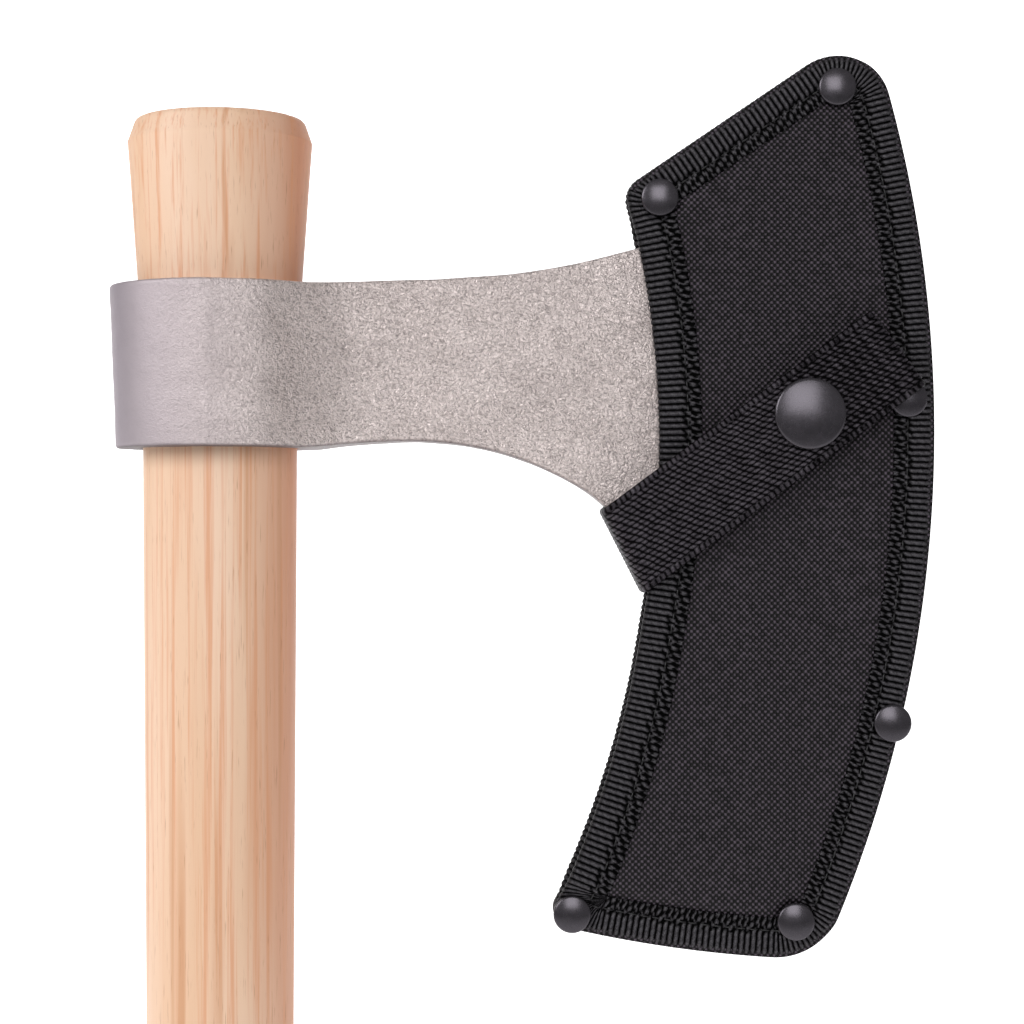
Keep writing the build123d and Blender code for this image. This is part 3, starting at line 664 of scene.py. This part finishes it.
def rib_relief(phase, along):
    """The tape's surface above its mean: ribs across its run, lobed like twisted yarn."""
    shift = 0.5 if along > SHIFTED_RIB else 0.0
    ridge = (0.5 - 0.5 * np.cos(2 * math.pi * (phase + shift))) ** 0.5
    uneven = 0.25 * np.sin(2.1 * np.floor(phase)) + 0.2 * np.sin(5.7 * np.floor(phase))
    lobes = 0.5 + 0.5 * np.cos(2 * math.pi * (along / LOBE + LOBE_LEAN * (phase % 1) + uneven))
    loose = 0.8 if along > WHOLE_RIB else 0.25
    crown = ridge * (1 - loose + loose * lobes)
    return RIB_HEIGHT * (crown - RIB_MEAN), crown


def sew_tape(name, sides, section, material):
    """A folded tape along sides of the outline. The section gives, from one inner edge to the other: the
    distance in from the edge, how far the surface faces out and up there, its height as a function of the
    plan, the distance along the tape's width, and the strength of its ribs."""
    edge, inner, phase = band_lines(sides)
    rows, crowns = [], []
    for inset, out, up, height, along, ribbed in section:
        relief, crown = rib_relief(phase, along)
        relief = ribbed * relief
        crowns.append(crown * ribbed + 0.3 * (1 - ribbed))
        scallop = SCALLOP * (1 - np.abs(2 * (phase % 1) - 1) ** 2) if along > SCALLOP_START else 0
        share = (inset - out * relief + scallop) / BAND
        flat = edge + (inner - edge) * share[:, None]
        rows.append(np.column_stack([flat, height(*flat.T) + up * relief]))
    rows = np.array(rows)
    index = np.arange(rows.shape[0] * rows.shape[1]).reshape(rows.shape[:2])
    made = make_piece(name, stand(rows.reshape(-1, 3)), grid_faces(index), material)
    mark(made, "crown", crowns)
    return made


def over_edge(sign, arch=1.0, drop=0.0):
    """A height function for the tape's face on one side: arched down towards the rim, or lower by a drop."""
    return lambda x, y: sign * (layer_height(x, y, FACE_RISE - drop) * arch)


half_section = [(BAND, 0, 1, over_edge(1, drop=TAPE + TUCK), BAND, 0.0)]
half_section += [(inset, 0, 1, over_edge(1), inset, 1.0) for inset in np.linspace(BAND, RIM_ROUND, 14)]
for angle in np.radians(np.linspace(90, 0, 7)[1:]):
    out, up = math.cos(angle), math.sin(angle)
    along = RIM_ROUND - (RIM_ROUND + RIM_STRETCH) * (math.pi / 2 - angle)
    ribbed = 0.25 + 0.75 * up**3
    half_section.append((RIM_ROUND * (1 - out), out, up, over_edge(1, up), along, ribbed))
mirrored = []
for inset, out, up, height, along, ribbed in half_section[-2::-1]:
    mirrored.append((inset, out, -up, lambda x, y, above=height: -above(x, y), along, ribbed))
edge_tape = sew_tape("edge_tape", (0, 1, 2), half_section + mirrored, tape_cloth)
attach(edge_tape, "sheath")
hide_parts("edge_binding")

for side, sign in (("front", 1), ("back", -1)):
    section = [(BAND, 0, sign, over_edge(sign, drop=TAPE + TUCK), BAND, 0.0)]
    insets = np.linspace(BAND, MOUTH_ROUND, 18)
    section += [(inset, 0, sign, over_edge(sign), inset, 1.0) for inset in insets]
    for angle in np.radians(np.linspace(90, -90, 11)[1:-1]):
        out, up = math.cos(angle), math.sin(angle)
        face = over_edge(sign, drop=FACE_RISE / 2 - MOUTH_ROUND * up)
        section.append((MOUTH_ROUND * (1 - out), out, sign * up, face, -angle, 0.5))
    under = over_edge(sign, drop=FACE_RISE)
    section += [(inset, 0, -sign, under, inset, 0.15) for inset in (1, 3, 6, BAND)]
    tape = sew_tape(side + "_mouth_tape", (3,), section, tape_cloth)
    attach(tape, "sheath")
    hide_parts(side + "_mouth_binding")

# Stitching. One row of lockstitch in bonded black thread runs along the tape, near its inner edge, front and
# back. Each stitch lies across two ribs and dips into the cloth at its ends.
STITCH, STITCH_GAP, THREAD_RADIUS = 2.6, 0.7, 0.17
STITCH_RISE, STITCH_SINK, STITCH_START = 0.28, 0.3, 1.0
STITCH_POINTS, THREAD_SIDES, LINE_POINTS = 7, 6, 1500

# bonded polyester thread: smooth and a little shinier than the cloth, with its twist just showing
thread_finish, tree, shader = new_material("bonded_thread", Roughness=0.38)
where = add(tree, "ShaderNodeTexCoord").outputs["Object"]
twist = add(tree, "ShaderNodeTexNoise", {"Vector": where, "Scale": 1 / (0.2 * MM), "Detail": 1.0})
base = add(tree, "ShaderNodeMixRGB", {0: twist, 1: colour("#070607"), 2: colour("#1d1b1e")})
tree.links.new(base.outputs[0], shader.inputs["Base Color"])


def thread_run(paths, radius):
    """Short lengths of thread along flat paths, as one list of points and faces."""
    around = np.linspace(0, 2 * math.pi, THREAD_SIDES + 1)[:-1]
    points, faces = [], []
    for path in paths:
        run = np.gradient(path, axis=0)
        run /= np.linalg.norm(run, axis=1)[:, None]
        side = np.cross(run, (0, 0, 1))
        side /= np.linalg.norm(side, axis=1)[:, None]
        lift = np.cross(side, run)
        ring = side[:, None] * np.cos(around)[None, :, None]
        ring = ring + lift[:, None] * np.sin(around)[None, :, None]
        count = len(path) * THREAD_SIDES
        index = np.arange(count).reshape(len(path), THREAD_SIDES) + count * len(points)
        faces += grid_faces(np.hstack([index, index[:, :1]])).tolist()
        faces += [index[0][::-1].tolist(), index[-1].tolist()]
        points.append((path[:, None] + radius * ring).reshape(-1, 3))
    return np.concatenate(points), faces


bow = np.sin(np.linspace(0, math.pi, STITCH_POINTS))
stitches = []
for side in range(4):
    line = side_line(side, STITCH_LINE, LINE_POINTS)
    total = np.linalg.norm(np.diff(line, axis=0), axis=1).sum()
    for start in np.arange(STITCH_START, total - STITCH, STITCH):
        at = (start + np.linspace(0, STITCH - STITCH_GAP, STITCH_POINTS)) / total * (LINE_POINTS - 1)
        flat = np.stack([np.interp(at, np.arange(LINE_POINTS), c) for c in line.T], axis=-1)
        up = layer_height(*flat.T, FACE_RISE) + STITCH_RISE * bow - STITCH_SINK
        stitches += [np.column_stack([flat, up]), np.column_stack([flat, -up])]
points, faces = thread_run(stitches, THREAD_RADIUS)
seam = make_piece("tape_stitching", stand(points), faces, thread_finish)
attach(seam, "sheath")

# Rivets. Six two-part cap rivets in blackened brass clamp the tape, the panels and the welt. Both caps are
# low pressed domes with rolled rims. The shank between them is out of sight and isn't drawn.
CAP_RADIUS, CAP_HEIGHT = 4.0, 1.7
CAP_SEAT, CAP_RIM = SEAM_HALF_GAP + FACE_RISE, 0.52
ROUND_SIDES, ROLL_ANGLES = 64, (-1.5, 0.9)
BASE_SHARE, DOME_SHARES, DOME_POWER = 0.6, (0.06, 0.985), 0.95

# blackened brass: satin dark grey with a soft broad highlight, faint turning marks and small rubbed spots
black_brass, tree, shader = new_material("blackened_brass", Metallic=0.8)
where = add(tree, "ShaderNodeTexCoord").outputs["Object"]
mottle = {"Vector": where, "Scale": 1 / (1.6 * MM), "Detail": 3.0, "Roughness": 0.6}
mottle = add(tree, "ShaderNodeTexNoise", mottle)
grit = add(tree, "ShaderNodeTexNoise", {"Vector": where, "Scale": 1 / (0.12 * MM)})
base = add(tree, "ShaderNodeMixRGB", {0: mottle, 1: colour("#4a474c"), 2: colour("#58545a")})
tree.links.new(base.outputs[0], shader.inputs["Base Color"])
satin = add(tree, "ShaderNodeMapRange", {0: mottle, 3: 0.22, 4: 0.32})
tree.links.new(satin.outputs[0], shader.inputs["Roughness"])
bump = add(tree, "ShaderNodeBump", {"Height": grit, "Strength": 0.12, "Distance": 0.03 * MM})
tree.links.new(bump.outputs[0], shader.inputs["Normal"])


def turn_piece(name, profile, centre, sign, material):
    """A round piece turned from a profile of (radius, height), standing up or down from the flat plan."""
    angle = np.linspace(0, 2 * math.pi, ROUND_SIDES + 1)[:-1]
    radii, heights = np.array(profile).T
    rings = np.empty((len(radii), len(angle), 3))
    rings[..., 0] = centre[0] + radii[:, None] * np.cos(angle)
    rings[..., 1] = centre[1] + radii[:, None] * np.sin(angle)
    rings[..., 2] = sign * heights[:, None]
    index = np.arange(rings.shape[0] * ROUND_SIDES).reshape(-1, ROUND_SIDES)
    faces = grid_faces(np.hstack([index, index[:, :1]])).tolist()
    faces += [index[0][::-1].tolist(), index[-1].tolist()]
    made = make_piece(name, stand(rings.reshape(-1, 3)), faces, material)
    face_outward(made)
    return made


def cap_profile(radius, height, seat, rim):
    """A pressed cap from its centre underneath to its crown: flat base, rolled rim and shallow dome."""
    turn = np.linspace(*ROLL_ANGLES, 9)
    roll = [(radius - rim * (1 - math.cos(a)), seat + rim * (1 + math.sin(a))) for a in turn]
    dome_radius, dome_foot = roll[-1]
    dome = []
    for share in np.linspace(*DOME_SHARES, 14):
        r = dome_radius * (1 - share)
        rise = seat + height - dome_foot
        dome.append((r, dome_foot + rise * (1 - (r / dome_radius) ** 2) ** DOME_POWER))
    return [(BASE_SHARE * radius, seat), (radius - rim, seat)] + roll + dome


profile = cap_profile(CAP_RADIUS, CAP_HEIGHT, CAP_SEAT, CAP_RIM)
for name, centre in RIVETS.items():
    cap = turn_piece("rivet_face_" + name, profile, centre, 1, black_brass)
    post = turn_piece("rivet_back_" + name, profile, centre, -1, black_brass)
    for piece, node in ((cap, "rivet_cap_" + name), (post, "rivet_post_" + name)):
        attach(piece, "sheath")
        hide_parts(node)

# Strap. Heavy nylon webbing is sewn to the back panel, runs round the beard of the axe and lies across the
# front; its tip is folded under and sewn down as a thumb tab.
STRAP_ROOT, STRAP_TILT, FOLD_TILT = np.array((86.0, 464.8)), 36.6, 27.1
STRAP_HALF_WIDTH, STRAP_HALF = 9.8, 0.7
# places along the strap from its fold, and levels above the blade's middle plane
STRAP_TIP, HEM_START, HEM_RIDGES, BACK_END = 73.0, 58.0, 46, 46.0
STRAP_LEVEL, HEM_LEVEL = 7.2, 5.8
FOLD_ROUND, FOLD_BOW, FRONT_START, BACK_START = 2.7, 0.1, 12.0, 9.0
FLAP_CLEAR, SETTLE_START, SETTLE_RUN = 0.1, 8, 14  # the back run comes down onto the sheath
WEB_STEP = 0.22
FLOAT_LENGTH, FLOAT_WIDTH, FLOAT_HEIGHT, FLOAT_MEAN = 1.55, 0.98, 0.45, 0.75
FLOAT_LEAN, FLOAT_STRAY, CORD = 0.3, 0.25, 1.25
BAR_LINE, BAR_WIDTH, BAR_HEIGHT = 69.0, 0.55, 0.25  # the row of stitches that closes the hem
SELVEDGE, RIDGE, EDGE_ROUND = 1.2, 2.1, 0.7
FADE_END, FADE_RUN, FOLD_END = 40, 30, 6  # the fold's slant fades out along the strap
along_strap = np.array((math.cos(math.radians(STRAP_TILT)), math.sin(math.radians(STRAP_TILT))))
across_strap = np.array((-along_strap[1], along_strap[0]))

# nylon webbing: thick matt yarns with a dull shine on each float, black with a slight violet cast; each float
# carries a painted highlight and the gaps between them painted shade
webbing, tree, shader = new_material("nylon_webbing", Roughness=0.45, Specular_IOR_Level=0.4)
where = add(tree, "ShaderNodeTexCoord").outputs["Object"]
fibres = {"Vector": where, "Scale": 1 / (0.3 * MM), "Detail": 3.0, "Roughness": 0.65}
fibres = add(tree, "ShaderNodeTexNoise", fibres)
crown = add(tree, "ShaderNodeAttribute", attribute_name="crown").outputs["Fac"]
crown = add(tree, "ShaderNodeMath", {0: crown, 1: fibres}, operation="MULTIPLY")
crown = add(tree, "ShaderNodeMapRange", {0: crown, 1: 0.12, 2: 0.52})
base = add(tree, "ShaderNodeMixRGB", {0: crown, 1: colour("#040304"), 2: colour("#4c464e")})
shine = add(tree, "ShaderNodeMapRange", {0: crown, 3: 0.02, 4: 0.4})
tree.links.new(shine.outputs[0], shader.inputs["Specular IOR Level"])
tree.links.new(base.outputs[0], shader.inputs["Base Color"])
bump = add(tree, "ShaderNodeBump", {"Height": fibres, "Strength": 0.5, "Distance": 0.12 * MM})
tree.links.new(bump.outputs[0], shader.inputs["Normal"])


def arc_points(centre, radius, start, end, count=9):
    """Points on an arc in the strap's long section, angles in degrees."""
    angle = np.radians(np.linspace(start, end, count))
    return [(centre[0] + radius * math.cos(a), centre[1] + radius * math.sin(a)) for a in angle]


turn_in = (STRAP_LEVEL - HEM_LEVEL) / 2
section = [(HEM_START, HEM_LEVEL)]
section += arc_points((STRAP_TIP - turn_in - STRAP_HALF, HEM_LEVEL + turn_in), turn_in, -90, 90)
section += [(FRONT_START, STRAP_LEVEL)]
section += arc_points((FOLD_ROUND + STRAP_HALF, STRAP_LEVEL - FOLD_ROUND), FOLD_ROUND, 90, 180)
section += [(STRAP_HALF - FOLD_BOW, 0.0)]
section += arc_points((FOLD_ROUND + STRAP_HALF, FOLD_ROUND - STRAP_LEVEL), FOLD_ROUND, 180, 270)
section += [(BACK_START, -STRAP_LEVEL), (BACK_END, -STRAP_LEVEL)]
section = np.array(section)
length = np.linalg.norm(np.diff(section, axis=0), axis=1).sum()
section = evenly(section, round(length / WEB_STEP))
run = np.gradient(section, axis=0)
run /= np.linalg.norm(run, axis=1)[:, None]
facing = np.stack([-run[:, 1], run[:, 0]], axis=-1)
travel = np.linspace(0, length, len(section))
width = np.linspace(-STRAP_HALF_WIDTH, STRAP_HALF_WIDTH, round(2 * STRAP_HALF_WIDTH / WEB_STEP) + 1)
slant = math.tan(math.radians(STRAP_TILT - FOLD_TILT))


def web_relief(run, across, side):
    """Webbing's surface, 0 to 1: slanting yarn floats in shifted, wandering columns between two selvedges."""
    strays = np.array([[noise.noise((a / 2.6, b / 1.9, side)) for b in across[0]] for a in run[:, 0]])
    column = np.floor(across / FLOAT_WIDTH + 0.5 * side)
    over = (across / FLOAT_WIDTH + 0.5 * side) % 1 * 2 - 1
    float_share = run / FLOAT_LENGTH + 0.5 * (column % 2) - FLOAT_LEAN * over + FLOAT_STRAY * strays
    float_share = float_share % 1 * 2 - 1
    floats = (1 - np.abs(over) ** 2.6) * (1 - np.abs(float_share) ** 2.6) * (0.9 + 0.25 * strays)
    cords = (1 - np.abs(run / CORD % 1 * 2 - 1) ** 2.5) * (0.7 + 0.4 * strays)
    edging = STRAP_HALF_WIDTH - np.abs(across)
    return np.where(edging < SELVEDGE, cords * np.clip(edging / 0.3 + 0.3, 0, 1), floats)


def strap_skin(side):
    """One face of the strap: 1 is the face that shows, -1 the one against the sheath."""
    along, level = section[:, None, 0], section[:, None, 1]
    fade = np.clip((FADE_END - along) / FADE_RUN, 0, 1)
    edge = np.clip((np.abs(width) - STRAP_HALF_WIDTH + EDGE_ROUND) / EDGE_ROUND, 0, 1)
    half = STRAP_HALF * np.sqrt(np.maximum(1 - 0.9 * edge**2, 0))
    crown = web_relief(travel[:, None], width[None], side)
    relief = FLOAT_HEIGHT * (crown - FLOAT_MEAN) * (1 - 0.6 * edge)
    ridge = np.exp(-(((along - BAR_LINE) / BAR_WIDTH) ** 2)) * (facing[:, None, 1] * side < 0)
    doubled = np.clip((along - HEM_RIDGES) / 4, 0, 1) * (section[:, None, 1] > 0)
    # painted shade between the hem's ridges, and a painted highlight on the stitched bar
    crown = crown * (1 - 0.4 * doubled * (0.5 + 0.5 * np.cos(2 * math.pi * along / RIDGE))) + 0.12 * ridge
    relief = np.where(np.abs(along) < FOLD_END, 0.4, 1.0) * relief + BAR_HEIGHT * ridge
    thick = side * (half + relief)
    a = along + width * slant * fade - facing[:, None, 0] * thick
    level = level - facing[:, None, 1] * thick
    flat = STRAP_ROOT + a[..., None] * along_strap + (width[:, None] * across_strap)[None]
    rest = layer_height(flat[..., 0], flat[..., 1], FACE_RISE) + STRAP_HALF + FLAP_CLEAR
    settled = np.clip((along - SETTLE_START) / SETTLE_RUN, 0, 1) * (section[:, None, 1] < 0)
    settled = settled**2 * (3 - 2 * settled)
    level = level + settled * np.maximum(STRAP_LEVEL - rest, 0)
    return np.concatenate([flat, level[..., None]], axis=-1), crown


(outer, crown_out), (inner, crown_in) = strap_skin(1), strap_skin(-1)
strap = shell("webbing_strap", outer, inner, webbing)
mark(strap, "crown", [crown_out, crown_in])
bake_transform(strap)
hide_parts("strap_back", "strap_fold", "strap_flap", "strap_hem")

# Snap. The cap is riveted through the strap to its socket, and the stud is riveted to the front panel with an
# eyelet behind the liner. All four are blackened brass.
SNAP_ALONG, SNAP_RADIUS, SNAP_HEIGHT, SNAP_RIM = 49.2, 7.55, 2.3, 0.65
SNAP = STRAP_ROOT + SNAP_ALONG * along_strap
STRAP_TOP = STRAP_LEVEL + STRAP_HALF
profile = cap_profile(SNAP_RADIUS, SNAP_HEIGHT, STRAP_TOP, SNAP_RIM)
snap = turn_piece("snap_cap_dome", profile, SNAP, 1, black_brass)
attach(snap, "strap")
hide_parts("snap_cap")
for name in ("snap_socket", "snap_stud", "snap_eyelet"):
    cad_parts[name].data.materials.clear()
    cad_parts[name].data.materials.append(black_brass)
